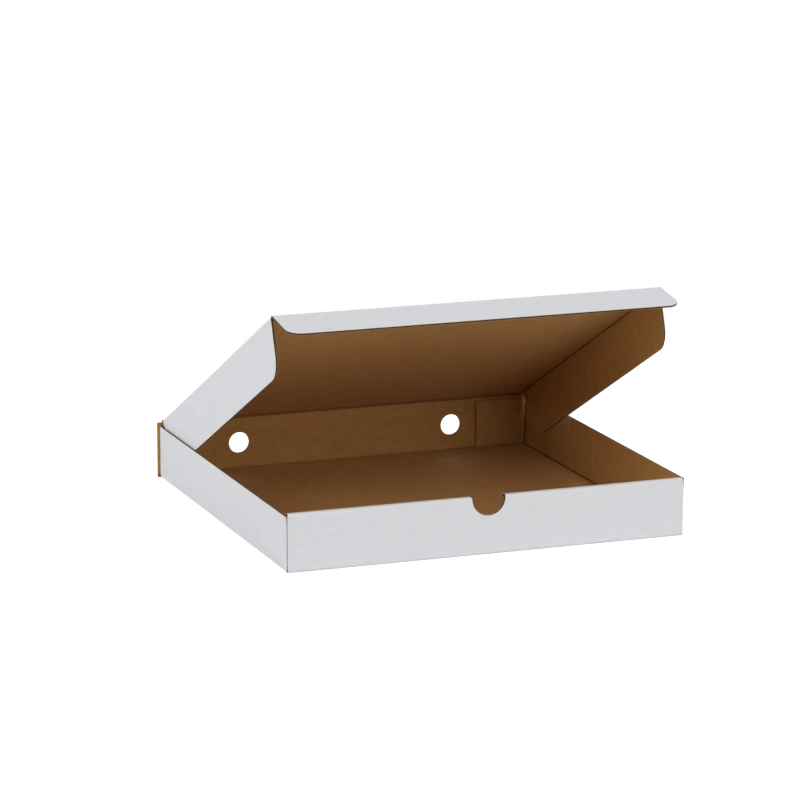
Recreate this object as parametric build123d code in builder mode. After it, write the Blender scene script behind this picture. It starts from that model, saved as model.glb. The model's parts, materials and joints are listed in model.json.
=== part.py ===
from build123d import *
from math import cos, radians, sin, tan
import os

# Pizza box for a 25 cm pizza, folded from one die-cut sheet of thin corrugated board.
# X runs along the front, Y from the front to the back and Z up. The origin is the middle of
# the floor's underside. The lid stands part open, with its tuck flap and side flaps unfolded.

# Board
board = 1.5
fold_radius = 1.5
corner_fold_radius = 0.6
layer_gap = 0.2
hinge_gap = 0.35

# Tray, over its outer faces
tray_width = 254.0
tray_depth = 255.0
hinge_height = 36.4
front_drop = 0.7
left_side_drop = 3.0
right_side_drop = 1.0
left_lean_deg = 0.0
right_lean_deg = 2.5
rear_ear = 1.4
ear_drop = 0.6

# Rolled front wall
inner_panel_gap = 0.3
foot_gap = 0.1
notch_radius = 10.7
notch_side = 1.0
notch_shoulder = 0.7
tab_length = 26.0
tab_taper = 1.2
tab_spacing = 128.0
slot_gap = 0.3

# Corner flaps, hinged on the ends of the side walls
corner_lift = 2.0
front_corner_length = 38.0
front_corner_drop = 6.2
rear_corner_length = 34.6
rear_corner_drop = 3.6
corner_nose_radius = 1.0

# Vent holes in the rear wall
vent_radius = 6.9
vent_spacing = 146.8
vent_height = 18.4

# Lid
lid_open_deg = 26.6
lid_side_gap = 0.4
lid_front_gap = 1.25

# Tuck flap on the lid's front edge
tuck_fold_deg = 35.5
tuck_floor_gap = 2.7
tuck_inset = 0.5
tuck_corner_radius = 9.0

# Side flaps on the lid's left and right edges
flap_floor_gap = 0.65
side_flap_front = 2.0
side_flap_taper = 4.0
side_flap_rear = 1.6
side_flap_square = 1.5
side_flap_slant = 24.5
side_flap_radius = 12.5

# Overrun of every cut
cut_over = 1.0

# Places that follow from the sizes
half_width = tray_width / 2
half_depth = tray_depth / 2
front_height = hinge_height - front_drop
front_face = -half_depth
rear_face = half_depth
front_inside = front_face + board
flap_front_face = front_inside + layer_gap
inner_panel_front = flap_front_face + board + layer_gap
inner_panel_back = inner_panel_front + board
rear_inside = rear_face - board
flap_rear_face = rear_inside - layer_gap
bend_start = half_depth - board - layer_gap - corner_fold_radius
hinge_y = rear_face - board / 2
hinge_z = hinge_height
hinge_setback = board / 2 + hinge_gap
lid_width = tray_width - 2 * (board + lid_side_gap)
lid_length = hinge_y - inner_panel_back - lid_front_gap
tuck_depth = front_height - board - tuck_floor_gap
flap_reach = hinge_z - board / 2 - board - flap_floor_gap

# Directions on the lid: towards its front edge, and away from its inner face
lid_turn = radians(lid_open_deg)
along_lid = Vector(0, -cos(lid_turn), sin(lid_turn))
under_lid = Vector(0, -sin(lid_turn), -cos(lid_turn))
hinge_point = Vector(0, hinge_y, hinge_z)
tuck_point = hinge_point + along_lid * lid_length


# Floor and walls

def side_wall(lean_deg, height):
    """Right-hand side wall with the strip of floor that it is folded from."""
    lean = radians(lean_deg)
    outer_top_x = half_width + height * sin(lean)
    outer_top_z = height * cos(lean)
    inner_top_x = outer_top_x - board * cos(lean)
    inner_top_z = outer_top_z + board * sin(lean)
    inner_foot_x = half_width + board * tan(lean) - board / cos(lean)
    with BuildPart() as wall:
        with BuildSketch(Plane.XZ.offset(-bend_start)):
            with BuildLine():
                FilletPolyline(
                    (0, 0),
                    (half_width, 0),
                    (outer_top_x, outer_top_z),
                    radius=fold_radius,
                )
                Polyline(
                    (outer_top_x, outer_top_z),
                    (inner_top_x, inner_top_z),
                    (inner_foot_x, board),
                    (0, board),
                    (0, 0),
                )
            make_face()
        extrude(amount=2 * bend_start)
    return wall.part


def corner_flap(lean_deg, length, drop):
    """Right-hand rear corner flap with its bend, cut level along its foot and its top."""
    lean = radians(lean_deg)
    wall_frame = Plane(
        origin=(half_width, 0, 0),
        x_dir=(cos(lean), 0, -sin(lean)),
        z_dir=(sin(lean), 0, cos(lean)),
    )
    flap_end = -board - length
    flap_top = hinge_height - drop
    bend_root = bend_start - board
    with BuildPart() as flap:
        with BuildSketch(wall_frame):
            with BuildLine():
                FilletPolyline(
                    (0, bend_root),
                    (0, flap_rear_face),
                    (flap_end, flap_rear_face),
                    radius=corner_fold_radius,
                )
                Polyline(
                    (flap_end, flap_rear_face),
                    (flap_end, flap_rear_face - board),
                    (-board, flap_rear_face - board),
                    (-board, bend_root),
                    (0, bend_root),
                )
            make_face()
        extrude(amount=hinge_height)
        with Locations((half_width, 0, (flap_top + corner_lift) / 2)):
            Box(tray_width, tray_depth, flap_top - corner_lift, mode=Mode.INTERSECT)
        nose = flap.edges().filter_by(Axis.Y).sort_by(Axis.X)[:2]
        fillet(nose, radius=corner_nose_radius)
    return flap.part


def folded_side(lean_deg, height):
    """Right-hand side wall with the corner flaps at both its ends."""
    with BuildPart() as side:
        add(side_wall(lean_deg, height))
        add(corner_flap(lean_deg, rear_corner_length, rear_corner_drop))
        add(mirror(corner_flap(lean_deg, front_corner_length, front_corner_drop), about=Plane.XZ))
    return side.part


def front_wall():
    """Front wall: up from the floor, over the roll and down to the foot of the inner panel."""
    panel_foot = board + foot_gap
    roll_under = front_height - board
    panel_half = half_width - board - inner_panel_gap
    side_strip = half_width - panel_half
    notch_centre = front_height - notch_side
    notch_lip = notch_radius + notch_shoulder
    shoulder_foot = front_height - notch_shoulder
    with BuildPart() as front:
        with BuildSketch(Plane.YZ.offset(-half_width)):
            with BuildLine():
                FilletPolyline(
                    (-bend_start, 0),
                    (front_face, 0),
                    (front_face, front_height),
                    (inner_panel_back, front_height),
                    (inner_panel_back, panel_foot),
                    radius=fold_radius,
                )
                Polyline(
                    (inner_panel_back, panel_foot),
                    (inner_panel_front, panel_foot),
                    (inner_panel_front, roll_under),
                    (front_inside, roll_under),
                    (front_inside, board),
                    (-bend_start, board),
                    (-bend_start, 0),
                )
            make_face()
        extrude(amount=tray_width)

        # The inner panel is narrower than the roll, so that it drops between the side walls
        with BuildSketch(Plane.XZ.offset(-inner_panel_back)):
            with GridLocations(2 * panel_half + side_strip, 0, 2, 1):
                with Locations((0, (panel_foot + roll_under) / 2)):
                    Rectangle(side_strip, roll_under - panel_foot)
        extrude(amount=board, mode=Mode.SUBTRACT)

        # Thumb notch through the outer panel, the roll and the inner panel
        with BuildSketch(Plane.XZ.offset(-inner_panel_back - cut_over)):
            with BuildLine():
                CenterArc((0, notch_centre), notch_radius, 180, 180)
                Line((notch_radius, notch_centre), (notch_radius, shoulder_foot))
                RadiusArc((notch_radius, shoulder_foot), (notch_lip, front_height), notch_shoulder)
                Polyline(
                    (notch_lip, front_height),
                    (notch_lip, front_height + cut_over),
                    (-notch_lip, front_height + cut_over),
                    (-notch_lip, front_height),
                )
                RadiusArc((-notch_lip, front_height), (-notch_radius, shoulder_foot), notch_shoulder)
                Line((-notch_radius, shoulder_foot), (-notch_radius, notch_centre))
            make_face()
        extrude(amount=inner_panel_back - front_face + 2 * cut_over, mode=Mode.SUBTRACT)
    return front.part


def rear_wall():
    """Rear wall with a round top along the lid's fold line and an ear past each side wall."""
    ear_radius = min(fold_radius, board - layer_gap)
    ear_top = hinge_z - ear_drop
    ear_cut = ear_drop + board
    ear_width = half_width + rear_ear + cut_over - lid_width / 2
    with BuildPart() as rear:
        with BuildSketch(Plane.YZ.offset(-half_width - rear_ear)):
            with BuildLine():
                FilletPolyline(
                    (rear_inside, 0),
                    (rear_face, 0),
                    (rear_face, hinge_z),
                    radius=ear_radius,
                )
                CenterArc((hinge_y, hinge_z), board / 2, 0, 180)
                Line((rear_inside, hinge_z), (rear_inside, 0))
            make_face()
        extrude(amount=tray_width + 2 * rear_ear)

        # Ears on both sides of the lid, cut a little lower than the fold line
        with BuildSketch(Plane.XZ.offset(-rear_face - cut_over)):
            with Locations((0, ear_top + ear_cut / 2)):
                with GridLocations(lid_width + ear_width, 0, 2, 1):
                    Rectangle(ear_width, ear_cut)
        extrude(amount=board + 2 * cut_over, mode=Mode.SUBTRACT)

        # Strip of floor that the wall is folded from
        with BuildSketch(Plane.XY):
            with Locations((0, (bend_start + rear_inside) / 2)):
                Rectangle(tray_width, rear_inside - bend_start)
        extrude(amount=board)

        # Vent holes
        with BuildSketch(Plane.XZ.offset(-rear_face - cut_over)):
            with Locations((0, vent_height)):
                with GridLocations(vent_spacing, 0, 2, 1):
                    Circle(vent_radius)
        extrude(amount=board + 2 * cut_over, mode=Mode.SUBTRACT)
    return rear.part


def lock_tabs():
    """Tabs at the inner panel's foot, which lock into the slots in the floor."""
    with BuildPart() as tabs:
        with BuildSketch(Plane.XZ.offset(-inner_panel_front)):
            with GridLocations(tab_spacing, 0, 2, 1):
                with BuildLine():
                    Polyline(
                        (tab_taper - tab_length / 2, foot_gap),
                        (tab_length / 2 - tab_taper, foot_gap),
                        (tab_length / 2, board + foot_gap),
                        (-tab_length / 2, board + foot_gap),
                        (tab_taper - tab_length / 2, foot_gap),
                    )
                make_face()
        extrude(amount=-board)
    return tabs.part


# Tray: floor and walls of the one folded sheet
with BuildPart() as tray:
    add(folded_side(right_lean_deg, hinge_height - right_side_drop))
    add(mirror(folded_side(left_lean_deg, hinge_height - left_side_drop), about=Plane.YZ))
    add(front_wall())
    add(rear_wall())

    # Slots in the floor for the lock tabs
    with BuildSketch(Plane.XY):
        with Locations((0, inner_panel_front + board / 2)):
            with GridLocations(tab_spacing, 0, 2, 1):
                Rectangle(tab_length + 2 * slot_gap, board + 2 * slot_gap)
    extrude(amount=board, mode=Mode.SUBTRACT)
    add(lock_tabs())


# Lid panel: a section with both edges rolled over, drawn square to the lid and pushed along it
lid_half = lid_width / 2
lid_flat_half = lid_half - board
lid_section = Plane(
    origin=hinge_point + along_lid * hinge_setback,
    x_dir=(1, 0, 0),
    z_dir=along_lid,
)
nose_end = Plane(
    origin=tuck_point - Vector(lid_flat_half, 0, 0),
    x_dir=along_lid,
    z_dir=(1, 0, 0),
)
with BuildPart() as lid_panel:
    with BuildSketch(lid_section):
        with BuildLine():
            Line((-lid_half, board / 2), (lid_half, board / 2))
            CenterArc((lid_flat_half, board / 2), board, 0, -90)
            Line((lid_flat_half, -board / 2), (-lid_flat_half, -board / 2))
            CenterArc((-lid_flat_half, board / 2), board, -90, -90)
        make_face()
    extrude(amount=lid_length - hinge_setback)
    # Round nose along the tuck flap's fold line
    with BuildSketch(nose_end):
        Circle(board / 2)
    extrude(amount=2 * lid_flat_half)


# Tuck flap, folded down from the plane of the lid
tuck_turn = radians(tuck_fold_deg)
along_tuck = along_lid * cos(tuck_turn) + under_lid * sin(tuck_turn)
over_tuck = along_lid * sin(tuck_turn) - under_lid * cos(tuck_turn)
tuck_half = lid_half - tuck_inset
tuck_plane = Plane(
    origin=tuck_point - over_tuck * (board / 2),
    x_dir=(1, 0, 0),
    z_dir=over_tuck,
)
with BuildPart() as tuck_flap:
    with BuildSketch(tuck_plane):
        with BuildLine():
            FilletPolyline(
                (-tuck_half, -hinge_setback),
                (-tuck_half, -tuck_depth),
                (tuck_half, -tuck_depth),
                (tuck_half, -hinge_setback),
                radius=tuck_corner_radius,
            )
            Line((tuck_half, -hinge_setback), (-tuck_half, -hinge_setback))
        make_face()
    extrude(amount=board)


# Side flaps: they hang square from the lid, with the fold line on its inner face
flap_plane = Plane(
    origin=hinge_point + under_lid * (board / 2) + Vector(lid_flat_half, 0, 0),
    x_dir=along_lid,
    z_dir=(1, 0, 0),
)
flap_front = lid_length - side_flap_front
with BuildPart() as right_side_flap:
    with BuildSketch(flap_plane):
        with BuildLine():
            FilletPolyline(
                (side_flap_rear, hinge_gap),
                (side_flap_rear, side_flap_square),
                (side_flap_rear + side_flap_slant, flap_reach),
                (flap_front - side_flap_taper, flap_reach),
                (flap_front, hinge_gap),
                radius=[0, corner_nose_radius, side_flap_radius],
            )
            Line((flap_front, hinge_gap), (side_flap_rear, hinge_gap))
        make_face()
    extrude(amount=board)

with BuildPart() as left_side_flap:
    add(mirror(right_side_flap.part, about=Plane.YZ))


# Finished panels
pieces = {
    "tray": tray,
    "lid_panel": lid_panel,
    "tuck_flap": tuck_flap,
    "left_side_flap": left_side_flap,
    "right_side_flap": right_side_flap,
}
os.makedirs("parts", exist_ok=True)
for name, piece in pieces.items():
    piece.part.label = name
    export_step(piece.part, f"parts/{name}.step")
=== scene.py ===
import json
from math import asin, atan2, cos, pi, radians, sin, tan

import bmesh
import bpy
import numpy as np
from mathutils import Matrix, Vector
from mathutils.geometry import delaunay_2d_cdt


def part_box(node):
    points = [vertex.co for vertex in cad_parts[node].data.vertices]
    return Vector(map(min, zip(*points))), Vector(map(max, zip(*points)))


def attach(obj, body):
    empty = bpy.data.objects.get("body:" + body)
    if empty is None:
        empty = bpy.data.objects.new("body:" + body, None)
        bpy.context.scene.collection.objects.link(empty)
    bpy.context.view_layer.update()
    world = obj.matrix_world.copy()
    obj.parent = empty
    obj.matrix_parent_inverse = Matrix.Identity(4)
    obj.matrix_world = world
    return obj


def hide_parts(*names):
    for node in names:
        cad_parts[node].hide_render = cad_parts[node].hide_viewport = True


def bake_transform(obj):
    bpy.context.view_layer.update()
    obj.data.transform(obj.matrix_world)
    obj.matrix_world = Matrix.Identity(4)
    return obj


# Pizza box of thin corrugated board. The sheet has a white liner outside, a kraft liner inside
# and fluted paper between them. Every panel is cut flat and then folded to its place.
# Lengths are in metres. On the flat sheet, across is square to the flutes and along follows them.
# The depth of a point is its distance from the sheet's white face, towards the kraft face.

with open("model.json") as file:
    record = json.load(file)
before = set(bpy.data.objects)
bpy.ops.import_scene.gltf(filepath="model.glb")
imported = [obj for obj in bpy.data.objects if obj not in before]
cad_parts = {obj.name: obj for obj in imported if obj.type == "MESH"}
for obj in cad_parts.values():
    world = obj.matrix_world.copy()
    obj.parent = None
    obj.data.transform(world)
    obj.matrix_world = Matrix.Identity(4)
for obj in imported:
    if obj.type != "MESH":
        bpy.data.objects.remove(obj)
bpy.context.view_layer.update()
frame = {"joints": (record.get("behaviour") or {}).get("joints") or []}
joints = {joint["name"]: joint for joint in frame["joints"]}

MM = 0.001

# Board
BOARD = 1.5 * MM
LINER = 0.2 * MM
FLUTE_PITCH = 3.4 * MM
FLUTE_PAPER = 0.15 * MM
FLUTE_STEPS = 8
FLUTE_HEIGHT = BOARD - 2 * LINER - FLUTE_PAPER
SHARP_ANGLE = radians(38)

# Cut edges, pinched by the knife, mostly on the kraft side
PINCH_WIDTH = 0.9 * MM
PINCH = 0.22 * MM
WHITE_PINCH_SHARE = 0.3

# Closeness: what counts as one place, as a corner that turns back, and as a sliver without area
JOIN_REACH = 0.01 * MM
SAME_STATION = 1e-9
SAME_CUT = 1e-4
TURNS_BACK = 0.2
LEAST_SPREAD = 0.5
SLIVER = 1e-13

# Creases pressed into the kraft face
CREASE_DEPTH = 0.85 * MM
REAR_CREASE_DEPTH = 0.3 * MM
CREASE_HALF = 0.7 * MM
# Crease colour, near black, mixed in where the kraft face is pressed: crushed fibres with painted shade
CREASE_DARK = 0.85
CRUSH_AND_SHADE_COLOUR = (0.02, 0.01, 0.004, 1)
BEAD_HEIGHT = 0.12 * MM
BEAD_OFFSET = 1.3 * MM
BEAD_WIDTH = 0.7 * MM

# Folds
FOLD_RADIUS = 1.5 * MM
CORNER_FOLD_RADIUS = 0.6 * MM
LAYER_GAP = 0.2 * MM

# Steps that curves are drawn in
FOLD_STEPS = 6
HALF_TURN_STEPS = 24
STRIP_STEPS = 16
ROLL_STEPS = 10
SHOULDER_STEPS = 6
NOSE_STEPS = 8
TUCK_CORNER_STEPS = 14
FLAP_CORNER_STEPS = 12

# Tray
FRONT_DROP = 0.7 * MM
SIDE_DROP = {1: 1.0 * MM, -1: 3.0 * MM}
RIGHT_LEAN = radians(2.5)
EAR = 1.4 * MM
EAR_DROP = 0.6 * MM
ROLL_DEPTH = 4.9 * MM
ROLL_TUCK = {1: 0.1 * MM, -1: 0.7 * MM}
INNER_NOTCH_STEP = 0.5 * MM
PANEL_GAP = 0.3 * MM
FOOT_GAP = 0.1 * MM
NOTCH_RADIUS = 10.7 * MM
NOTCH_SIDE = 1.0 * MM
NOTCH_SHOULDER = 0.7 * MM
TAB_LENGTH = 26.0 * MM
TAB_TAPER = 1.2 * MM
TAB_SPACING = 128.0 * MM
SLOT_GAP = 0.3 * MM
CORNER_LIFT = 2.0 * MM
FRONT_CORNER = (38.0 * MM, 6.2 * MM)
REAR_CORNER = (34.6 * MM, 3.6 * MM)
CORNER_NOSE = 0.5 * MM
VENT_RADIUS = 6.9 * MM
VENT_SPACING = 146.8 * MM
VENT_HEIGHT = 18.4 * MM

# Lid
HINGE_SETBACK = 1.1 * MM
SIDE_SETBACK = 1.0 * MM
TUCK_DEPTH = 31.5 * MM
TUCK_INSET = 0.5 * MM
TUCK_CORNER = 9.0 * MM
FLAP_REACH = 33.5 * MM
FLAP_FRONT = 2.0 * MM
FLAP_TAPER = 4.0 * MM
FLAP_REAR = 1.6 * MM
FLAP_SQUARE = 1.5 * MM
FLAP_SLANT = 24.5 * MM
FLAP_NOSE = 12.5 * MM

# Stage, in metres, and the photograph's camera
FLOOR_HALF = 0.8
FLOOR_FRONT = -1.2
FLOOR_BACK = 0.45
FLOOR_GLOW = 0.6
SURROUND_LIGHT = 0.03
CAMERA_TURN = radians(-20.44)
CAMERA_TILT = radians(12.76)
CAMERA_AWAY = 2.5407
CAMERA_RIGHT = -0.008551
CAMERA_UP = 0.06592
CAMERA_LENS = 182.37
CAMERA_SENSOR = 36

# Places that the frame gives
half_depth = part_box("tray")[1].y
half_ears = -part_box("tray")[0].x
half_width = half_ears - EAR
lid_hinge = Vector(joints["lid_hinge"]["pos_m"])
tuck_fold = Vector(joints["tuck_fold"]["pos_m"])
side_fold = Vector(joints["right_fold"]["pos_m"])
along_lid = (tuck_fold - lid_hinge).normalized()
lid_length = (tuck_fold - lid_hinge).length
over_lid = Vector((1, 0, 0)).cross(-along_lid).normalized()
hinge_height = lid_hinge.z
front_height = hinge_height - FRONT_DROP
lid_flat_half = side_fold.x
lid_half = lid_flat_half + BOARD
bend_start = half_depth - BOARD - LAYER_GAP - CORNER_FOLD_RADIUS


# Paths of a folded sheet, seen from its end

class FoldedPath:
    """The white face of a sheet with round folds, all turning to the kraft side on its left."""

    def __init__(self, corners, radius, crease_depth=CREASE_DEPTH):
        points = [Vector(c) for c in corners]
        self.radius = radius
        self.crease_depth = crease_depth
        self.parts = []
        self.folds = []
        self.mitres = []
        place, start = points[0], 0.0
        for i in range(1, len(points)):
            heading = (points[i] - points[i - 1]).normalized()
            turn = 0.0
            if i + 1 < len(points):
                onward = points[i + 1] - points[i]
                turn = atan2(heading.cross(onward), heading.dot(onward))
            setback = radius * tan(turn / 2)
            run = (points[i] - place).length - setback
            self.parts.append((start, place, heading, 0.0))
            place = place + heading * run
            start += run
            if turn:
                self.parts.append((start, place, heading, turn))
                self.folds.append((start, start + radius * turn))
                halfway = Matrix.Rotation(pi / 2 + turn / 2, 2) @ heading
                self.mitres.append((start, start + radius * turn, points[i], halfway / cos(turn / 2)))
                place = place + heading * setback + Matrix.Rotation(turn, 2) @ heading * setback
                start += radius * turn
        self.length = start

    def at(self, station, depth):
        """Point on the path's plane, depth inside the white face."""
        for start, end, corner, inward in self.mitres:
            beyond = (depth - self.radius) * tan((end - start) / self.radius / 2)
            if beyond > 0 and start - beyond <= station <= end + beyond:
                return corner + inward * depth
        part = [p for p in self.parts if station >= p[0] - SAME_STATION] or self.parts[:1]
        start, place, heading, turn = part[-1]
        left = Vector((-heading.y, heading.x))
        if not turn:
            return place + heading * (station - start) + left * depth
        angle = min((station - start) / self.radius, turn)
        spoke = Matrix.Rotation(angle, 2) @ -left
        return place + left * self.radius + spoke * (self.radius - depth)

    def beside(self, start, end):
        """Run beside a fold that the kraft face loses, because it turns inside the white one."""
        return max(0.0, (BOARD - self.radius) * tan((end - start) / self.radius / 2))

    def crease(self, station):
        """How far the kraft face is pressed in (negative) or raised (positive) near a fold.
        Only a wide fold raises a bead beside its crease."""
        press = 0.0
        for start, end in self.folds:
            away = max(start - station, station - end, 0.0) - self.beside(start, end)
            press -= self.crease_depth * max(0.0, 1 - max(away, 0.0) / CREASE_HALF)
            if self.radius >= BOARD - LAYER_GAP:
                press += BEAD_HEIGHT * max(0.0, 1 - abs(away - BEAD_OFFSET) / BEAD_WIDTH)
        return press

    def fold_stations(self):
        """Stations that a mesh needs to follow the round folds and their creases."""
        found = []
        for start, end in self.folds:
            found += [start + (end - start) * i / FOLD_STEPS for i in range(FOLD_STEPS + 1)]
            beside = self.beside(start, end)
            edges = [beside + e for e in (
                0.0, CREASE_HALF, BEAD_OFFSET - BEAD_WIDTH, BEAD_OFFSET, BEAD_OFFSET + BEAD_WIDTH)]
            found += [start - e for e in edges] + [end + e for e in edges]
        return found

    def foot(self):
        """Distance from the first fold's end back to the corner that its straight runs would make."""
        start, end = self.folds[0]
        return self.radius * tan((end - start) / self.radius / 2)


front_path = FoldedPath(
    [
        (0, 0),
        (half_depth, 0),
        (half_depth, front_height),
        (half_depth - ROLL_DEPTH, front_height),
        (half_depth - ROLL_DEPTH, BOARD + FOOT_GAP),
    ],
    FOLD_RADIUS,
)
rear_path = FoldedPath(
    [(0, 0), (half_depth, 0), (half_depth, hinge_height - HINGE_SETBACK)],
    BOARD - LAYER_GAP,
    REAR_CREASE_DEPTH,
)


def side_path(lean, height):
    """Path from the middle of the floor up a side wall that leans outwards."""
    top = (half_width + height * sin(lean), height * cos(lean))
    return FoldedPath([(0, 0), (half_width, 0), top], FOLD_RADIUS)


# Flat outlines

def arc(centre, radius, start, turn, steps):
    """Points of an arc, both ends included, with angles in radians."""
    angles = [start + turn * i / steps for i in range(steps + 1)]
    return [(centre[0] + radius * cos(a), centre[1] + radius * sin(a)) for a in angles]


def rounded(corners, radii, steps=NOSE_STEPS):
    """Outline with each corner rounded to its radius."""
    outline = []
    for i, corner in enumerate(corners):
        here, radius = Vector(corner), radii[i]
        if not radius:
            outline.append(tuple(here))
            continue
        back = (Vector(corners[i - 1]) - here).normalized()
        onward = (Vector(corners[(i + 1) % len(corners)]) - here).normalized()
        half = back.angle(onward) / 2
        centre = here + (back + onward).normalized() * (radius / sin(half))
        start = here + back * (radius / tan(half)) - centre
        end = here + onward * (radius / tan(half)) - centre
        turn = atan2(start.cross(end), start.dot(end))
        outline += arc(centre, radius, atan2(start.y, start.x), turn, steps)
    return outline


def mirrored(half):
    """Whole outline from its right half, which runs from the middle round to the middle."""
    return half + [(-x, y) for x, y in reversed(half)]


# Cutting a flat sheet into a mesh

def inset_loop(loop, distance):
    """A closed loop of points moved to its left by a distance."""
    moved = []
    for i, point in enumerate(loop):
        here = Vector(point)
        back = (here - Vector(loop[i - 1])).normalized()
        onward = (Vector(loop[(i + 1) % len(loop)]) - here).normalized()
        left = Vector((-back.y, back.x)) + Vector((-onward.y, onward.x))
        if left.length < TURNS_BACK:
            continue
        left.normalize()
        spread = max(left.dot(Vector((-onward.y, onward.x))), LEAST_SPREAD)
        moved.append(tuple(here + left * (distance / spread)))
    return moved


def inside(points, loops):
    """Which points lie inside the outline and outside its holes."""
    result = np.zeros(len(points), bool)
    x, y = points[:, 0], points[:, 1]
    for loop in loops:
        ends = np.roll(np.array(loop), -1, axis=0)
        for (x1, y1), (x2, y2) in zip(loop, ends):
            spans = (y1 > y) != (y2 > y)
            reach = x1 + (x2 - x1) * (y - y1) / ((y2 - y1) or 1e-12)
            result ^= spans & (x < reach)
    return result


def runs_anticlockwise(loop):
    """Whether a closed loop runs anticlockwise."""
    return sum(x1 * y2 - x2 * y1 for (x1, y1), (x2, y2) in zip(loop, loop[1:] + loop[:1])) > 0


def on_join(point, joins):
    """The joins, each an axis and a value, that a point lies on."""
    return {(axis, value) for axis, value in joins if abs(point[axis] - value) < JOIN_REACH}


def stopped(outline, joins):
    """Outline with a point close to each end of a join, where the pinch of the cut edge fades out."""
    whole = []
    for here, onward in zip(outline, outline[1:] + outline[:1]):
        whole.append(here)
        run = Vector(onward) - Vector(here)
        at_here, at_onward = on_join(here, joins), on_join(onward, joins)
        if run.length < 2 * PINCH_WIDTH or at_here & at_onward:
            continue
        if at_here:
            whole.append(tuple(Vector(here) + run.normalized() * PINCH_WIDTH))
        if at_onward:
            whole.append(tuple(Vector(onward) - run.normalized() * PINCH_WIDTH))
    return whole


def on_hole(point, holes):
    """Whether a point of the cut edge belongs to a hole, whose edge the knife leaves square."""
    return any(
        min(x for x, y in hole) - JOIN_REACH < point[0] < max(x for x, y in hole) + JOIN_REACH
        and min(y for x, y in hole) - JOIN_REACH < point[1] < max(y for x, y in hole) + JOIN_REACH
        for hole in holes
    )


def cut_sheet(outline, holes, across_lines, along_lines, joins):
    """Triangles of a flat sheet, with the pinch of each point where the knife has cut it."""
    outline = outline if runs_anticlockwise(outline) else outline[::-1]
    outline = stopped(outline, joins)
    holes = [h[::-1] if runs_anticlockwise(h) else h for h in holes]
    loops = [outline] + holes
    points, edges = [], []
    for loop in loops + [inset_loop(l, PINCH_WIDTH) for l in loops]:
        first = len(points)
        points += [Vector(p) for p in loop]
        edges += [(first + i, first + (i + 1) % len(loop)) for i in range(len(loop))]
    xs, ys = [p[0] for p in outline], [p[1] for p in outline]
    for x in across_lines:
        if min(xs) < x < max(xs):
            edges.append((len(points), len(points) + 1))
            points += [Vector((x, min(ys) - MM)), Vector((x, max(ys) + MM))]
    for y in along_lines:
        if min(ys) < y < max(ys):
            edges.append((len(points), len(points) + 1))
            points += [Vector((min(xs) - MM, y)), Vector((max(xs) + MM, y))]
    scale = 1 / MM
    cut = delaunay_2d_cdt([p * scale for p in points], edges, [], 0, SAME_CUT)
    places = np.array([(p.x * MM, p.y * MM) for p in cut[0]])
    faces = np.array(cut[2])
    corners = places[faces]
    turns = np.cross(corners[:, 1] - corners[:, 0], corners[:, 2] - corners[:, 0])
    kept = faces[inside(corners.mean(axis=1), loops) & (np.abs(turns) > SLIVER)]

    counts = {}
    for face in kept:
        for a, b in zip(face, np.roll(face, -1)):
            counts.setdefault(frozenset((int(a), int(b))), []).append((int(a), int(b)))
    rim = [found[0] for found in counts.values() if len(found) == 1]
    pinch = np.zeros(len(places))
    for end in {int(v) for edge in rim for v in edge}:
        if not on_join(places[end], joins) and not on_hole(places[end], holes):
            pinch[end] = PINCH
    used = np.unique(kept)
    renumber = np.full(len(places), -1)
    renumber[used] = np.arange(len(used))
    rim = [(int(renumber[a]), int(renumber[b])) for a, b in rim]
    return places[used], renumber[kept], rim, pinch[used]


# Meshes

def new_piece(name, points, faces, flat_places, materials, material_ids=None, crush_shade_values=None):
    """Mesh object with a UV map that holds each point's place on the flat sheet, and how dark its crease is
    painted, for crushed fibres and painted shade.
    """
    mesh = bpy.data.meshes.new(name)
    mesh.from_pydata([tuple(p) for p in points], [], [tuple(int(i) for i in f) for f in faces])
    for material in materials:
        mesh.materials.append(material)
    if material_ids is not None:
        mesh.polygons.foreach_set("material_index", material_ids)
    uv = mesh.uv_layers.new(name="sheet")
    ids = np.zeros(len(mesh.loops), int)
    mesh.loops.foreach_get("vertex_index", ids)
    uv.data.foreach_set("uv", np.array(flat_places, float)[ids].ravel())
    if crush_shade_values is not None:
        layer = mesh.attributes.new("crease_crush_and_shade", "FLOAT", "POINT")
        layer.data.foreach_set("value", np.array(crush_shade_values, np.float32))
    mesh.polygons.foreach_set("use_smooth", [True] * len(mesh.polygons))
    mesh.set_sharp_from_angle(angle=SHARP_ANGLE)
    mesh.update()
    piece = bpy.data.objects.new(name, mesh)
    bpy.context.scene.collection.objects.link(piece)
    return piece


def joined(name, pieces):
    """One object from several, under a name of its own."""
    bpy.ops.object.select_all(action="DESELECT")
    for piece in pieces:
        piece.select_set(True)
    bpy.context.view_layer.objects.active = pieces[0]
    if len(pieces) > 1:
        bpy.ops.object.join()
    whole = pieces[0]
    whole.name = name
    whole.data.name = name
    return whole


def liner(name, sheet, place, depths, crease, materials, flip):
    """One liner: a thin closed paper between two depths, each with its share of the edge's pinch.
    The materials are those of its first face, its second face and its cut edge."""
    flat, faces, rim, pinch = sheet
    count = len(flat)
    presses = [crease(x, y) for x, y in flat]
    points = []
    for low, side in depths:
        points += [place(x, y, low + side * p + press) for (x, y), p, press in zip(flat, pinch, presses)]
    outer = [f[::-1] for f in faces] if flip else list(faces)
    inner = [f[::-1] + count for f in outer]
    walls = [(b, a, a + count, b + count) for a, b in rim]
    walls = [w[::-1] for w in walls] if flip else walls
    ids = [0] * len(faces) + [1] * len(faces) + [2] * len(walls)
    # How far each point is pressed, which paints its crease darker: crushed fibres and painted shade
    crush_shade_amounts = [max(0.0, -press) / CREASE_DEPTH for press in presses] * 2
    return new_piece(name, points, outer + inner + walls, np.vstack([flat, flat]), materials, ids, crush_shade_amounts)


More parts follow.
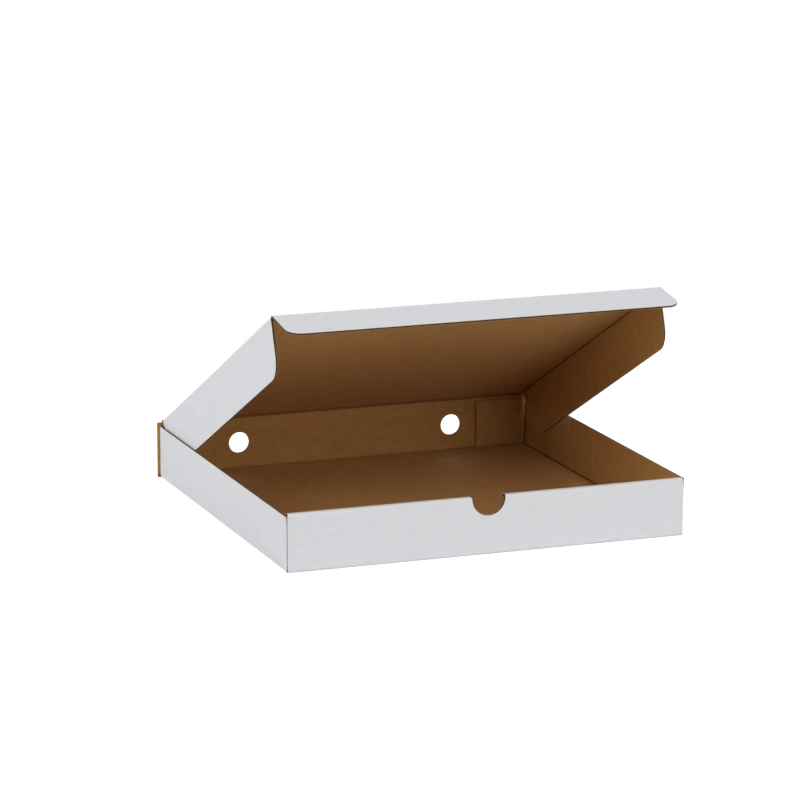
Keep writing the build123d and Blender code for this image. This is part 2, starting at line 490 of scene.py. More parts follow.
def facing(place, sheet):
    """True where the sheet's triangles face away from the kraft side once they are folded."""
    flat, faces = sheet[0], sheet[1]
    a, b, c = (Vector(place(*flat[i], 0.0)) for i in faces[len(faces) // 2])
    kraft = Vector(place(*flat[faces[len(faces) // 2][0]], BOARD)) - a
    return (b - a).cross(c - a).dot(kraft) < 0


def math_node(tree, operation, first, second=None):
    """Output of a new math node, whose inputs are numbers or the outputs of other nodes."""
    node = tree.nodes.new("ShaderNodeMath")
    node.operation = operation
    for socket, value in zip(node.inputs, (first, second)):
        if isinstance(value, (int, float)):
            socket.default_value = value
        elif value is not None:
            tree.links.new(value, socket)
    return node.outputs[0]


def fluting_tree():
    """Geometry nodes that press waves into a flat paper and give it its thickness."""
    tree = bpy.data.node_groups.new("fluting", "GeometryNodeTree")
    tree.interface.new_socket("Geometry", in_out="INPUT", socket_type="NodeSocketGeometry")
    inputs = {}
    for label, value in (("Pitch", FLUTE_PITCH), ("Height", FLUTE_HEIGHT), ("Paper", FLUTE_PAPER)):
        socket = tree.interface.new_socket(label, in_out="INPUT", socket_type="NodeSocketFloat")
        socket.default_value = value
        inputs[label] = socket.identifier
    socket = tree.interface.new_socket("Material", in_out="INPUT", socket_type="NodeSocketMaterial")
    inputs["Material"] = socket.identifier
    tree.interface.new_socket("Geometry", in_out="OUTPUT", socket_type="NodeSocketGeometry")
    nodes, links = tree.nodes, tree.links
    entry = nodes.new("NodeGroupInput")
    leave = nodes.new("NodeGroupOutput")

    def attribute(label, kind):
        node = nodes.new("GeometryNodeInputNamedAttribute")
        node.data_type = kind
        node.inputs["Name"].default_value = label
        return next(s for s in node.outputs if s.enabled)

    def math(operation, first, second=None):
        return math_node(tree, operation, first, second)

    def scaled(vector, amount):
        node = nodes.new("ShaderNodeVectorMath")
        node.operation = "SCALE"
        links.new(vector, node.inputs[0])
        links.new(amount, node.inputs["Scale"])
        return node.outputs[0]

    to_kraft = attribute("to_kraft", "FLOAT_VECTOR")
    turns = math("DIVIDE", attribute("across", "FLOAT"), entry.outputs["Pitch"])
    wave = math("SINE", math("MULTIPLY", turns, 2 * pi))
    half = math("MULTIPLY", entry.outputs["Height"], 0.5)
    swing = math("MAXIMUM", math("SUBTRACT", half, attribute("pinch", "FLOAT")), 0.0)
    lift = math("SUBTRACT", math("MULTIPLY", wave, swing), math("MULTIPLY", entry.outputs["Paper"], 0.5))
    press = nodes.new("GeometryNodeSetPosition")
    links.new(entry.outputs["Geometry"], press.inputs["Geometry"])
    links.new(scaled(to_kraft, lift), press.inputs["Offset"])

    thicken = nodes.new("GeometryNodeExtrudeMesh")
    thicken.mode = "FACES"
    thicken.inputs["Individual"].default_value = False
    links.new(press.outputs["Geometry"], thicken.inputs["Mesh"])
    links.new(to_kraft, thicken.inputs["Offset"])
    links.new(entry.outputs["Paper"], thicken.inputs["Offset Scale"])
    under = nodes.new("GeometryNodeFlipFaces")
    links.new(press.outputs["Geometry"], under.inputs["Mesh"])
    both = nodes.new("GeometryNodeJoinGeometry")
    links.new(thicken.outputs["Mesh"], both.inputs[0])
    links.new(under.outputs["Mesh"], both.inputs[0])
    weld = nodes.new("GeometryNodeMergeByDistance")
    weld.inputs["Distance"].default_value = JOIN_REACH
    links.new(both.outputs[0], weld.inputs["Geometry"])
    real = nodes.new("GeometryNodeRealizeInstances")
    links.new(weld.outputs["Geometry"], real.inputs["Geometry"])
    finish = nodes.new("GeometryNodeSetMaterial")
    links.new(real.outputs["Geometry"], finish.inputs["Geometry"])
    links.new(entry.outputs["Material"], finish.inputs["Material"])
    links.new(finish.outputs["Geometry"], leave.inputs["Geometry"])
    return tree, inputs


def fluted(name, sheet, place, material):
    """Fluted paper over one flat panel, pressed by the fluting nodes and made a plain mesh."""
    flat, faces, rim, pinch = sheet
    middle = BOARD / 2
    points = [Vector(place(x, y, middle)) for x, y in flat]
    faces = [f[::-1] for f in faces] if facing(place, sheet) else list(faces)
    paper = new_piece(name, points, faces, flat, [material])
    towards = [(Vector(place(x, y, BOARD)) - p).normalized() for (x, y), p in zip(flat, points)]
    for label, numbers in (("across", flat[:, 0]), ("pinch", pinch)):
        layer = paper.data.attributes.new(label, "FLOAT", "POINT")
        layer.data.foreach_set("value", np.array(numbers, np.float32))
    layer = paper.data.attributes.new("to_kraft", "FLOAT_VECTOR", "POINT")
    layer.data.foreach_set("vector", np.array(towards, np.float32).ravel())
    modifier = paper.modifiers.new("fluting", "NODES")
    modifier.node_group = FLUTING[0]
    modifier[FLUTING[1]["Material"]] = material
    graph = bpy.context.evaluated_depsgraph_get()
    baked = bpy.data.meshes.new_from_object(paper.evaluated_get(graph))
    paper.modifiers.remove(modifier)
    paper.data = baked
    for label in ("across", "pinch", "to_kraft"):
        layer = baked.attributes.get(label)
        if layer:
            baked.attributes.remove(layer)
    return paper


def wave_lines(low, high):
    """Places across the flutes at which a fluted paper is bent."""
    step = FLUTE_PITCH / FLUTE_STEPS
    return [i * step for i in range(int(low / step) - 1, int(high / step) + 2)]


# Materials

def node_material(name):
    """Empty node material with its Principled shader."""
    material = bpy.data.materials.new(name)
    material.use_nodes = True
    shader = material.node_tree.nodes["Principled BSDF"]
    return material, material.node_tree, shader


def paper_material(name, base, shade, light, flecks, grain, ribs, roughness, sheen=0.0):
    """Liner paper: cloudy base, fine fibres across the flutes, flecks and faint flute ribs.
    Flecks are their strength and colour. Ribs are their darkness, their height and the fibres' height."""
    material, tree, shader = node_material(name)
    nodes, links = tree.nodes, tree.links
    shader.inputs["Roughness"].default_value = roughness
    shader.inputs["Specular IOR Level"].default_value = 0.22
    shader.inputs["Sheen Weight"].default_value = sheen
    shader.inputs["Sheen Roughness"].default_value = 0.5

    sheet = nodes.new("ShaderNodeUVMap")
    sheet.uv_map = "sheet"

    def noise(scale, stretch, detail, rough=0.6):
        mapping = nodes.new("ShaderNodeMapping")
        mapping.inputs["Scale"].default_value = (stretch[0], stretch[1], 1)
        links.new(sheet.outputs["UV"], mapping.inputs["Vector"])
        node = nodes.new("ShaderNodeTexNoise")
        node.inputs["Scale"].default_value = scale
        node.inputs["Detail"].default_value = detail
        node.inputs["Roughness"].default_value = rough
        links.new(mapping.outputs["Vector"], node.inputs["Vector"])
        return node.outputs["Fac"]

    def ramp(value, low, high, colours=((0, 0, 0, 1), (1, 1, 1, 1))):
        node = nodes.new("ShaderNodeValToRGB")
        node.color_ramp.elements[0].position = low
        node.color_ramp.elements[1].position = high
        for element, colour in zip(node.color_ramp.elements, colours):
            element.color = colour
        links.new(value, node.inputs["Fac"])
        return node.outputs["Color"]

    def mixed(factor, first, second, blend="MIX"):
        node = nodes.new("ShaderNodeMix")
        node.data_type = "RGBA"
        node.blend_type = blend
        if isinstance(factor, float):
            node.inputs["Factor"].default_value = factor
        else:
            links.new(factor, node.inputs["Factor"])
        for socket, value in zip((node.inputs[6], node.inputs[7]), (first, second)):
            if isinstance(value, tuple):
                socket.default_value = value
            else:
                links.new(value, socket)
        return node.outputs[2]

    clouds = ramp(noise(90, (1, 1.6), 4), 0.35, 0.68)
    fibres = ramp(noise(520, (0.35, 2.2), 6, 0.7), 0.36, 0.66)
    specks = ramp(noise(1500, (0.6, 1.2), 2), 0.70, 0.78)
    colour = mixed(clouds, shade, base)
    tinted = mixed(fibres, colour, light)
    soft = mixed(grain, colour, tinted)
    flecked = mixed(math_node(tree, "MULTIPLY", specks, flecks[0]), soft, flecks[1])

    # Ribs where the flutes show through the liner
    split = nodes.new("ShaderNodeSeparateXYZ")
    links.new(sheet.outputs["UV"], split.inputs[0])
    turns = math_node(tree, "MULTIPLY", split.outputs["X"], 2 * pi / FLUTE_PITCH)
    rib = nodes.new("ShaderNodeMapRange")
    rib.inputs["From Min"].default_value = -1
    rib.inputs["From Max"].default_value = 1
    rib.inputs["To Min"].default_value = 1 - ribs[0]
    rib.inputs["To Max"].default_value = 1
    links.new(math_node(tree, "SINE", turns), rib.inputs["Value"])
    ribbed = mixed(1.0, flecked, rib.outputs[0], "MULTIPLY")

    # Crease colour: crushed fibres, darkened further with painted shade, strongest in the groove where the
    # kraft face is pressed deepest
    mark = nodes.new("ShaderNodeAttribute")
    mark.attribute_name = "crease_crush_and_shade"
    crush_shade_mix = math_node(tree, "MULTIPLY", mark.outputs["Fac"], CREASE_DARK)
    links.new(mixed(crush_shade_mix, ribbed, CRUSH_AND_SHADE_COLOUR), shader.inputs["Base Color"])

    # Relief of the ribs and the fibres
    rib_bump = nodes.new("ShaderNodeBump")
    rib_bump.inputs["Distance"].default_value = ribs[1]
    rib_bump.inputs["Strength"].default_value = 1.0
    links.new(rib.outputs[0], rib_bump.inputs["Height"])
    fibre_bump = nodes.new("ShaderNodeBump")
    fibre_bump.inputs["Distance"].default_value = ribs[2]
    fibre_bump.inputs["Strength"].default_value = 0.7
    links.new(fibres, fibre_bump.inputs["Height"])
    links.new(rib_bump.outputs["Normal"], fibre_bump.inputs["Normal"])
    links.new(fibre_bump.outputs["Normal"], shader.inputs["Normal"])
    return material


def rgb(red, green, blue):
    """Linear colour from the usual 0 to 255 values."""
    def linear(v):
        v /= 255
        return v / 12.92 if v <= 0.04045 else ((v + 0.055) / 1.055) ** 2.4
    return (linear(red), linear(green), linear(blue), 1.0)


WHITE = paper_material(
    "white_liner", base=rgb(226, 227, 230), shade=rgb(221, 222, 226), light=rgb(233, 234, 236),
    flecks=(0.10, rgb(196, 190, 182)), grain=0.35, ribs=(0.008, 0.014 * MM, 0.010 * MM), roughness=0.62,
)
KRAFT = paper_material(
    "kraft_liner", base=rgb(188, 140, 79), shade=rgb(175, 127, 67), light=rgb(205, 159, 100),
    flecks=(0.45, rgb(112, 78, 42)), grain=0.55, ribs=(0.05, 0.03 * MM, 0.02 * MM), roughness=0.72,
    sheen=0.04,
)
WHITE_CUT = paper_material(
    "white_cut_edge", base=rgb(205, 184, 162), shade=rgb(188, 166, 144), light=rgb(220, 202, 184),
    flecks=(0.3, rgb(140, 116, 92)), grain=0.6, ribs=(0.0, 0.0, 0.03 * MM), roughness=0.85,
)
KRAFT_CUT = paper_material(
    "kraft_cut_edge", base=rgb(150, 116, 84), shade=rgb(132, 100, 70), light=rgb(170, 136, 104),
    flecks=(0.3, rgb(96, 66, 40)), grain=0.6, ribs=(0.0, 0.0, 0.03 * MM), roughness=0.85,
)
FLUTE = paper_material(
    "fluting_paper", base=rgb(100, 77, 55), shade=rgb(86, 65, 46), light=rgb(118, 94, 70),
    flecks=(0.35, rgb(96, 66, 40)), grain=0.6, ribs=(0.0, 0.0, 0.02 * MM), roughness=0.85,
)
FLUTING = fluting_tree()


# Panels

def no_crease(x, y):
    """Crease of a face that has none."""
    return 0.0


def panel_pieces(name, parts, flute_parts):
    """White liner, kraft liner and fluted paper of one node, each from its own flat parts."""
    outside, inner, flutes = [], [], []
    for sheet, place, crease in parts:
        flip = not facing(place, sheet)
        outside.append(liner(
            f"{name}_outside", sheet, place, ((0.0, WHITE_PINCH_SHARE), (LINER, WHITE_PINCH_SHARE)),
            no_crease, (WHITE, FLUTE, WHITE_CUT), flip,
        ))
        inner.append(liner(
            f"{name}_inside", sheet, place, ((BOARD - LINER, -1), (BOARD, -1)),
            crease, (FLUTE, KRAFT, KRAFT_CUT), flip,
        ))
    for sheet, place in flute_parts:
        flutes.append(fluted(f"{name}_fluting", sheet, place, FLUTE))
    return [joined(f"{name}_{part}", group) for part, group in
            (("outside", outside), ("inside", inner), ("fluting", flutes))]


# Front wall, floor and rear wall, one strip of the sheet

def strip_place(x, y, depth):
    """Place of a point on the strip that runs from the lock tabs to the rear wall's top."""
    path, side = (front_path, -1) if y < 0 else (rear_path, 1)
    out, up = path.at(abs(y), depth)
    return (x, side * out, up)


def strip_crease(x, y):
    """Crease of the strip's kraft face."""
    return (front_path if y < 0 else rear_path).crease(abs(y))


outer_fold, roll_front, roll_back = front_path.folds
panel_foot = front_path.length
wall_top = rear_path.length
ear_start = rear_path.folds[0][0]
ear_top = wall_top + HINGE_SETBACK - EAR_DROP
inner_half = half_width - BOARD - PANEL_GAP


def front_station(height, inner):
    """Station on the front wall at a height, on the outer panel or the inner one."""
    straight = front_height - FOLD_RADIUS
    rise = asin(max(0.0, min(1.0, (height - straight) / FOLD_RADIUS)))
    over = min(height, straight)
    if inner:
        return roll_back[1] + straight - over - FOLD_RADIUS * rise
    return roll_front[0] - (straight - over) + FOLD_RADIUS * rise


def notch_edge(inner):
    """Right edge of the thumb notch on one panel, from its bottom up, as places on the flat sheet."""
    radius = NOTCH_RADIUS - (INNER_NOTCH_STEP if inner else 0.0)
    edge = arc((0, front_height - NOTCH_SIDE), radius, -pi / 2, pi / 2, HALF_TURN_STEPS)
    shoulder = (radius + NOTCH_SHOULDER, front_height - NOTCH_SHOULDER)
    edge += arc(shoulder, NOTCH_SHOULDER, pi, -pi / 2, SHOULDER_STEPS)
    return [(x, -front_station(z, inner)) for x, z in edge]


def notch_hole():
    """Outline of the thumb notch over the outer panel, the roll and the inner panel."""
    right = notch_edge(False) + notch_edge(True)[::-1]
    return right + [(-x, y) for x, y in reversed(right[1:-1])]


def roll_half(side, station):
    """Half the outer panel's width on one side, pulled in a little where the sheet rolls over."""
    share = (station - roll_front[0]) / (roll_back[1] - roll_front[0])
    return half_width - ROLL_TUCK[side] * sin(pi * max(0.0, min(1.0, share)))


left_side = side_path(0.0, hinge_height - SIDE_DROP[-1])
right_side = side_path(RIGHT_LEAN, hinge_height - SIDE_DROP[1])
right_seam, left_seam = right_side.folds[0][0], left_side.folds[0][0]


def strip_outline(side, seam):
    """One half of the strip's outline, drawn on the right, from the front's middle to the rear's."""
    tab = TAB_SPACING / 2
    roll = roll_back[1] - roll_front[0]
    roll_stations = [roll_back[1] - roll * i / ROLL_STEPS for i in range(ROLL_STEPS + 1)]
    return [
        (tab - TAB_LENGTH / 2, -panel_foot),
        (tab - TAB_LENGTH / 2 + TAB_TAPER, -panel_foot - BOARD),
        (tab + TAB_LENGTH / 2 - TAB_TAPER, -panel_foot - BOARD),
        (tab + TAB_LENGTH / 2, -panel_foot),
        (inner_half, -panel_foot),
        (inner_half, -roll_back[1]),
    ] + [(roll_half(side, s), -s) for s in roll_stations] + [
        (half_width, -bend_start),
        (seam, -bend_start),
        (seam, bend_start),
        (half_width, bend_start),
        (half_width, ear_start),
        (half_ears, ear_start),
        (half_ears, ear_top),
        (lid_half, ear_top),
        (lid_half, wall_top),
    ]


def circle(centre, radius):
    """Closed outline of a round hole."""
    return arc(centre, radius, 0, 2 * pi, 2 * HALF_TURN_STEPS)[:-1]


def rectangle(centre, width, depth):
    """Closed outline of a rectangular slot."""
    x, y = centre
    a, b = width / 2, depth / 2
    return [(x - a, y - b), (x + a, y - b), (x + a, y + b), (x - a, y + b)]


slot_line = half_depth - ROLL_DEPTH + BOARD / 2
vent_line = rear_path.folds[0][1] + VENT_HEIGHT - (BOARD - LAYER_GAP)
tab_sides = (-TAB_SPACING / 2, TAB_SPACING / 2)
vents = [circle((s * VENT_SPACING / 2, vent_line), VENT_RADIUS) for s in (-1, 1)]
slots = [rectangle((x, -slot_line), TAB_LENGTH + 2 * SLOT_GAP, BOARD + 2 * SLOT_GAP) for x in tab_sides]
strip_lines = [-s for s in front_path.fold_stations()] + rear_path.fold_stations()
strip_sheet = cut_sheet(
    strip_outline(1, right_seam) + [(-x, y) for x, y in reversed(strip_outline(-1, left_seam))],
    vents + slots + [notch_hole()],
    [],
    strip_lines,
    [(0, right_seam), (0, -left_seam), (1, wall_top)],
)


def banded(outline, holes, joins):
    """Flat panel, cut at every bend of its flutes."""
    xs = [p[0] for p in outline]
    return cut_sheet(outline, holes, wave_lines(min(xs), max(xs)), [], joins)


def notch_part(inner):
    """Outline of a front panel with the thumb notch cut from its top edge."""
    foot, top = (panel_foot, roll_back[1]) if inner else (outer_fold[1], roll_front[0])
    half = inner_half if inner else half_width
    low, high = sorted((foot, top))
    edge = [(x, y) for x, y in notch_edge(inner) if low < abs(y) < high]
    right = [(half, -foot), (half, -top), (edge[-1][0], -top)] + edge[:0:-1]
    return right + [(0.0, edge[0][1])] + [(-x, y) for x, y in reversed(right)]


outer_panel = banded(notch_part(False), [], [(1, -outer_fold[1]), (1, -roll_front[0])])
inner_panel = banded(notch_part(True), [], [(1, -roll_back[1])])
rear_fold_end = rear_path.folds[0][1]
rear_panel = banded(
    mirrored([(half_ears, rear_fold_end), (half_ears, ear_top), (lid_half, ear_top), (lid_half, wall_top)]),
    vents, [(1, rear_fold_end), (1, wall_top)],
)
tab_panels = [
    banded(
        [
            (x - TAB_LENGTH / 2, -panel_foot), (x - TAB_LENGTH / 2 + TAB_TAPER, -panel_foot - BOARD),
            (x + TAB_LENGTH / 2 - TAB_TAPER, -panel_foot - BOARD), (x + TAB_LENGTH / 2, -panel_foot),
        ],
        [], [(1, -panel_foot)],
    )
    for x in tab_sides
]


# Side walls with the corner flaps at their ends

def corner_path(length):
    """Path along a side wall and round into its corner flap, seen from above."""
    face = half_depth - BOARD - LAYER_GAP
    return FoldedPath([(0, 0), (face, 0), (face, BOARD + length)], CORNER_FOLD_RADIUS)


front_corner_path, rear_corner_path = corner_path(FRONT_CORNER[0]), corner_path(REAR_CORNER[0])


def side_place(path, lean, side):
    """Placing function of a side wall, where side is 1 for the right wall and -1 for the left one."""
    fold_end = path.folds[0][1]

    def place(x, y, depth):
        corner = front_corner_path if y < 0 else rear_corner_path
        if x < fold_end and abs(y) < bend_start + JOIN_REACH:
            out, up = path.at(x, depth)
            return (side * out, y, up)
        back, inward = corner.at(abs(y), depth)
        height = x - fold_end + path.foot()
        out = half_width + height * sin(lean) - inward * cos(lean)
        up = height * cos(lean) + inward * sin(lean)
        return (side * out, back if y > 0 else -back, up)
    return place


def side_crease(path):
    """Crease of a side wall's kraft face, at its foot and at its corner flaps."""
    def crease(x, y):
        corner = front_corner_path if y < 0 else rear_corner_path
        on_wall = path.crease(x) if abs(y) < bend_start + JOIN_REACH else 0.0
        at_corner = corner.crease(abs(y))
        return min(on_wall, at_corner) if min(on_wall, at_corner) < 0 else max(on_wall, at_corner)
    return crease


def side_sheets(path, lean):
    """The side wall's flat sheet with both corner flaps, and the flat parts that show flutes."""
    seam, fold_end = path.folds[0]
    top = path.length
    ends = []

    def level(height, inward):
        """Place across the sheet that stands at a height, inward from the wall's outer face."""
        return fold_end - path.foot() + (height - inward * sin(lean)) / cos(lean)

    for corner, (length, drop), sign in (
        (rear_corner_path, REAR_CORNER, 1), (front_corner_path, FRONT_CORNER, -1),
    ):
        tip, high = corner.length, hinge_height - drop
        flap = [
            (level(CORNER_LIFT, 0), sign * bend_start),
            (level(CORNER_LIFT, BOARD + length), sign * (tip + CORNER_LIFT * tan(lean))),
            (level(high, BOARD + length), sign * (tip + high * tan(lean))),
            (level(high, 0), sign * bend_start),
        ]
        flap = rounded(flap, [0, CORNER_NOSE, CORNER_NOSE, 0])
        ends.append((flap, corner, sign))
    rear_flap, front_flap = ends[0][0], ends[1][0]
    outline = [(seam, -bend_start), (seam, bend_start)] + rear_flap
    outline += [(top, bend_start), (top, -bend_start)] + front_flap[::-1]
    lines = path.fold_stations()
    turns = rear_corner_path.fold_stations() + [-s for s in front_corner_path.fold_stations()]
    whole = cut_sheet(outline, [], lines, turns, [(0, seam)])
    wall = [(fold_end, -bend_start), (fold_end, bend_start), (top, bend_start), (top, -bend_start)]
    parts = [banded(wall, [], [(0, fold_end)])]
    for flap, corner, sign in ends:
        start = sign * corner.folds[0][1]
        bent = [(x, start if abs(y) <= bend_start + SAME_STATION else y) for x, y in flap]
        parts.append(banded(bent, [], [(1, start)]))
    return whole, parts


right_place, left_place = side_place(right_side, RIGHT_LEAN, 1), side_place(left_side, 0.0, -1)
right_whole, right_parts = side_sheets(right_side, RIGHT_LEAN)
left_whole, left_parts = side_sheets(left_side, 0.0)

tray_pieces = panel_pieces(
    "tray",
    [
        (strip_sheet, strip_place, strip_crease),
        (right_whole, right_place, side_crease(right_side)),
        (left_whole, left_place, side_crease(left_side)),
    ],
    [(sheet, strip_place) for sheet in [outer_panel, inner_panel, rear_panel] + tab_panels]
    + [(sheet, right_place) for sheet in right_parts]
    + [(sheet, left_place) for sheet in left_parts],
)


# Lid, tuck flap and side flaps

def both_cuts(outline, joins):
    """The sheet of a panel without folds, whole for its liners and in bands for its flutes."""
    return cut_sheet(outline, [], [], [], joins), banded(outline, [], joins)


def flat_place(origin, across, along, to_kraft, start=0.0):
    """Placing function of a flat panel, from a point on its white face."""
    def place(x, y, depth):
        return origin + across * x + along * (y - start) + to_kraft * depth
    return place


lid_start = wall_top + HINGE_SETBACK
across_lid = Vector((1, 0, 0))
lid_place = flat_place(lid_hinge + over_lid * (BOARD / 2), across_lid, along_lid, -over_lid, lid_start)
lid_front, lid_rear = lid_start + lid_length - HINGE_SETBACK, lid_start + HINGE_SETBACK
flap_start, flap_end = lid_start + FLAP_REAR, lid_start + lid_length - FLAP_FRONT
lid_edge = lid_flat_half - SIDE_SETBACK
lid_outline = mirrored([
    (lid_half, lid_rear), (lid_half, flap_start), (lid_edge, flap_start),
    (lid_edge, flap_end), (lid_half, flap_end), (lid_half, lid_front),
])
lid_joins = [(1, lid_rear), (1, lid_front), (0, lid_edge), (0, -lid_edge)]
lid_sheet, lid_flutes = both_cuts(lid_outline, lid_joins)
lid_pieces = panel_pieces("lid", [(lid_sheet, lid_place, no_crease)], [(lid_flutes, lid_place)])

tuck_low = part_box("tuck_flap")[0].z
tuck_half = lid_half - TUCK_INSET
tuck_turn = asin((tuck_fold.z - tuck_low - BOARD / 2) / TUCK_DEPTH)
along_tuck = Vector((0, -cos(tuck_turn), -sin(tuck_turn)))
over_tuck = Vector((0, -sin(tuck_turn), cos(tuck_turn)))
tuck_start = lid_start + lid_length
tuck_place = flat_place(tuck_fold + over_tuck * (BOARD / 2), across_lid, along_tuck, -over_tuck, tuck_start)
tuck_outline = rounded(
    [
        (-tuck_half, tuck_start + HINGE_SETBACK), (tuck_half, tuck_start + HINGE_SETBACK),
        (tuck_half, tuck_start + TUCK_DEPTH), (-tuck_half, tuck_start + TUCK_DEPTH),
    ],
    [0, 0, TUCK_CORNER, TUCK_CORNER], TUCK_CORNER_STEPS,
)
tuck_sheet, tuck_flutes = both_cuts(tuck_outline, [(1, tuck_start + HINGE_SETBACK)])
tuck_pieces = panel_pieces("tuck", [(tuck_sheet, tuck_place, no_crease)], [(tuck_flutes, tuck_place)])

flap_outline = rounded(
    [
        (lid_half + SIDE_SETBACK, flap_start),
        (lid_half + FLAP_SQUARE, flap_start),
        (lid_half + FLAP_REACH, flap_start + FLAP_SLANT),
        (lid_half + FLAP_REACH, flap_end - FLAP_TAPER),
        (lid_half + SIDE_SETBACK, flap_end),
    ],
    [0, 0, CORNER_NOSE, FLAP_NOSE, 0], FLAP_CORNER_STEPS,
)
flap_sheet, flap_flutes = both_cuts(flap_outline, [(0, lid_half + SIDE_SETBACK)])


def fold_rear(side):
    """Rear end of a side flap's fold axis, where side is 1 for the right flap and -1 for the left one."""
    return Vector((side * lid_flat_half, lid_hinge.y, lid_hinge.z)) - over_lid * (BOARD / 2)


def flap_place(side):
    """Placing function of the side flap on one side."""
    origin = fold_rear(side) + across_lid * side * BOARD

    def place(x, y, depth):
        return origin - over_lid * (x - lid_half) + along_lid * (y - lid_start) - across_lid * side * depth
    return place


flap_pieces = {
    side: panel_pieces(f"{label}_flap", [(flap_sheet, flap_place(side), no_crease)],
                       [(flap_flutes, flap_place(side))])
    for label, side in (("left", -1), ("right", 1))
}


# Folds that move

def mitred(line, distance):
    """An open line of points moved to its right by a distance."""
    moved = []
    for i, point in enumerate(line):
        back = (point - line[i - 1]).normalized() if i else None
        onward = (line[i + 1] - point).normalized() if i + 1 < len(line) else None
        sides = [Vector((run.y, -run.x)) for run in (back, onward) if run]
        side = sum(sides, Vector((0, 0))).normalized()
        moved.append(point + side * (distance / max(side.dot(sides[0]), LEAST_SPREAD)))
    return moved


def fold_lines(turn, depth, setback):
    """The white and kraft faces round a fold, with the fold's axis at the origin.
    The sheet comes in along +X with its white face up, and turns down by an angle."""
    leave = Vector((cos(turn), -sin(turn)))
    over = Vector((sin(turn), cos(turn)))
    white = [Vector((-setback, depth))]
    white += [Vector(p) for p in arc((0, 0), depth, pi / 2, -turn, 2 * FOLD_STEPS)]
    white.append(over * depth + leave * setback)
    under = BOARD - depth
    corner = Vector((-under * tan(turn / 2), -under))
    groove = (Vector((0, 1)) + over).normalized() * CREASE_DEPTH
    kraft = [
        Vector((-setback, -under)),
        corner - Vector((CREASE_HALF, 0)),
        corner + groove,
        corner + leave * CREASE_HALF,
        leave * setback - over * under,
    ]
    return white, kraft


def fold_strip(name, line, thickness, place, run, materials, flat, mark):
    """Closed paper strip of a fold: a line's section, one liner thick, run along the fold."""
    section = line + mitred(line, thickness)[::-1]
    count = len(section)
    travel = [0.0]
    for a, b in zip(line, line[1:]):
        travel.append(travel[-1] + (b - a).length)
    travel += travel[::-1]
    points, places, faces, crush_shade_amounts = [], [], [], []
    for i in range(STRIP_STEPS + 1):
        # Only the groove's point is darkened: crushed fibres and painted shade in the crease
        crush_shade_amounts += [float(j == mark) for j in range(count)]
        distance = run[0] + (run[1] - run[0]) * i / STRIP_STEPS
        points += [place(point, distance) for point in section]
        places += [flat(gone, distance) for gone in travel]
    for i in range(STRIP_STEPS):
        near, far = i * count, (i + 1) * count
        for j in range(count):
            k = (j + 1) % count
            faces.append((near + j, far + j, far + k, near + k))
    ids = [0 if j < len(line) - 1 else 1 for j in range(count)] * STRIP_STEPS
    last = STRIP_STEPS * count
    for j in range(len(line) - 1):
        cap = (j, j + 1, count - 2 - j, count - 1 - j)
        faces += [cap, tuple(last + v for v in reversed(cap))]
        ids += [2, 2]
    strip = new_piece(name, points, faces, places, materials, ids, crush_shade_amounts)
    work = bmesh.new()
    work.from_mesh(strip.data)
    bmesh.ops.recalc_face_normals(work, faces=work.faces)
    work.to_mesh(strip.data)
    work.free()
    return strip


def moving_fold(name, origin, axes, run, turn, depth, setback, start, turned):
    """White and kraft strips of a fold at a joint, built where the fold now stands."""
    incoming, white_side, along = axes

    def place(point, distance):
        return origin + incoming * point.x + white_side * point.y + along * distance

    def flat(gone, distance):
        across = start - setback + gone
        return (across, distance) if turned else (distance, across)

    white, kraft = fold_lines(turn, depth, setback)
    for part, line, thickness, materials, slot, mark in (
        ("outside", white, LINER, (WHITE, FLUTE, WHITE_CUT), "white_liner", None),
        ("inside", kraft, -LINER, (KRAFT, FLUTE, KRAFT_CUT), "kraft_liner", 2),
    ):
        strip = fold_strip(f"{name}_{part}", line, thickness, place, run, materials, flat, mark)
        place(line[0], 0.0)
        place(line[-1], 0.0)
        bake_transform(strip)


up = Vector((0, 0, 1))
rear = Vector((0, 1, 0))
lid_turn = asin(along_lid.z)
moving_fold(
    "rear_fold", lid_hinge, (up, rear, across_lid), (-lid_half, lid_half),
    pi / 2 - lid_turn, BOARD / 2, HINGE_SETBACK, lid_start, False,
)
moving_fold(
    "tuck_fold", tuck_fold, (along_lid, over_lid, across_lid), (-tuck_half, tuck_half),
    lid_turn + tuck_turn, BOARD / 2, HINGE_SETBACK, tuck_start, False,
)
for label, side in (("left", -1), ("right", 1)):
    moving_fold(
        f"{label}_fold", fold_rear(side),
        (across_lid * side, over_lid, along_lid), (FLAP_REAR, lid_length - FLAP_FRONT),
        pi / 2, BOARD, SIDE_SETBACK, lid_flat_half, True,
    )

for body, node, made in (
    ("tray", "tray", tray_pieces),
    ("lid", "lid_panel", lid_pieces),
    ("tuck", "tuck_flap", tuck_pieces),
    ("left_flap", "left_side_flap", flap_pieces[-1]),
    ("right_flap", "right_side_flap", flap_pieces[1]),
):
    for piece, slot in zip(made, ("white_liner", "kraft_liner", "kraft_liner")):
        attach(piece, body)
        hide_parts(node)


# Floor, light and camera

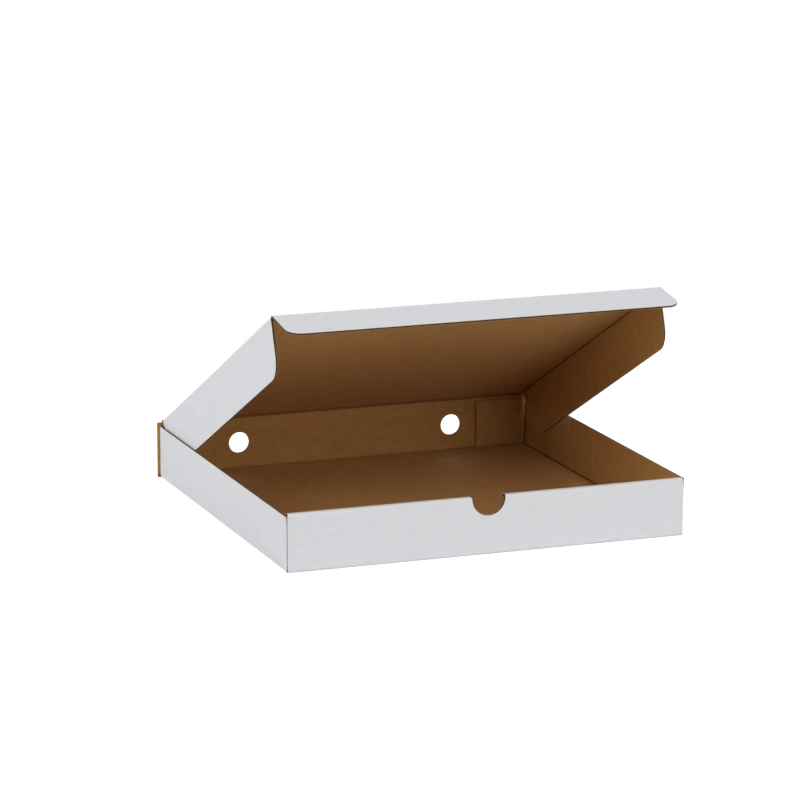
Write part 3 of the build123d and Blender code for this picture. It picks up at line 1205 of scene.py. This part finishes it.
def stage_floor():
    """Plain pale floor that keeps the box's shadow."""
    mesh = bpy.data.meshes.new("floor")
    corners = [
        (-FLOOR_HALF, FLOOR_FRONT, 0), (FLOOR_HALF, FLOOR_FRONT, 0),
        (FLOOR_HALF, FLOOR_BACK, 0), (-FLOOR_HALF, FLOOR_BACK, 0),
    ]
    mesh.from_pydata(corners, [], [(0, 1, 2, 3)])
    floor = bpy.data.objects.new("floor", mesh)
    bpy.context.scene.collection.objects.link(floor)
    material, tree, shader = node_material("floor_white")
    shader.inputs["Base Color"].default_value = (0.9, 0.9, 0.9, 1)
    shader.inputs["Roughness"].default_value = 1.0
    shader.inputs["Specular IOR Level"].default_value = 0.0
    shader.inputs["Emission Color"].default_value = (1, 1, 1, 1)
    path = tree.nodes.new("ShaderNodeLightPath")
    glow = math_node(tree, "MULTIPLY", path.outputs["Is Camera Ray"], FLOOR_GLOW)
    tree.links.new(glow, shader.inputs["Emission Strength"])
    mesh.materials.append(material)


def studio_light():
    """White surroundings with soft lamps on all sides and above, brightest at the left and in front."""
    world = bpy.data.worlds.new("studio")
    bpy.context.scene.world = world
    world.use_nodes = True
    tree = world.node_tree
    nodes, links = tree.nodes, tree.links
    background = nodes["Background"]
    background.inputs["Color"].default_value = (1, 1, 1, 1)
    path = nodes.new("ShaderNodeLightPath")
    seen = math_node(tree, "MAXIMUM", path.outputs["Is Camera Ray"], path.outputs["Is Glossy Ray"])
    level = nodes.new("ShaderNodeMapRange")
    level.inputs["To Min"].default_value = SURROUND_LIGHT
    level.inputs["To Max"].default_value = 1.0
    links.new(seen, level.inputs["Value"])
    links.new(level.outputs[0], background.inputs["Strength"])
    for label, place, size, power in (
        ("left", (-2.6, -0.6, 0.9), 1.6, 23.5),
        ("left_rear", (-2.5, 0.9, 0.3), 1.2, 20.5),
        ("top", (0.0, -0.3, 2.4), 1.8, 24.0),
        ("front", (0.9, -2.5, 0.6), 1.6, 20.0),
        ("high", (0.3, -2.0, 1.6), 1.0, 13.5),
        ("right", (2.4, -1.0, 0.7), 1.4, 5.0),
        ("behind", (0.8, 2.4, 0.8), 1.6, 14.0),
    ):
        lamp = bpy.data.lights.new(label, "AREA")
        lamp.energy = power
        lamp.size = size
        light = bpy.data.objects.new(label, lamp)
        light.location = place
        light.rotation_euler = (-Vector(place)).to_track_quat("-Z", "Y").to_euler()
        bpy.context.scene.collection.objects.link(light)


def studio_camera():
    """Camera at the photograph's height, turn, distance and lens."""
    turn, tilt = CAMERA_TURN, CAMERA_TILT
    back = Vector((sin(turn) * cos(tilt), -cos(turn) * cos(tilt), sin(tilt)))
    right = Vector((cos(turn), sin(turn), 0))
    over = back.cross(right)
    data = bpy.data.cameras.new("camera")
    data.sensor_width = CAMERA_SENSOR
    data.lens = CAMERA_LENS
    camera = bpy.data.objects.new("camera", data)
    camera.location = back * CAMERA_AWAY + right * CAMERA_RIGHT + over * CAMERA_UP
    camera.rotation_mode = "QUATERNION"
    camera.rotation_quaternion = Matrix((right, over, back)).transposed().to_quaternion()
    bpy.context.scene.collection.objects.link(camera)
    bpy.context.scene.camera = camera


stage_floor()
studio_light()
studio_camera()
bpy.context.scene.view_settings.view_transform = "Standard"
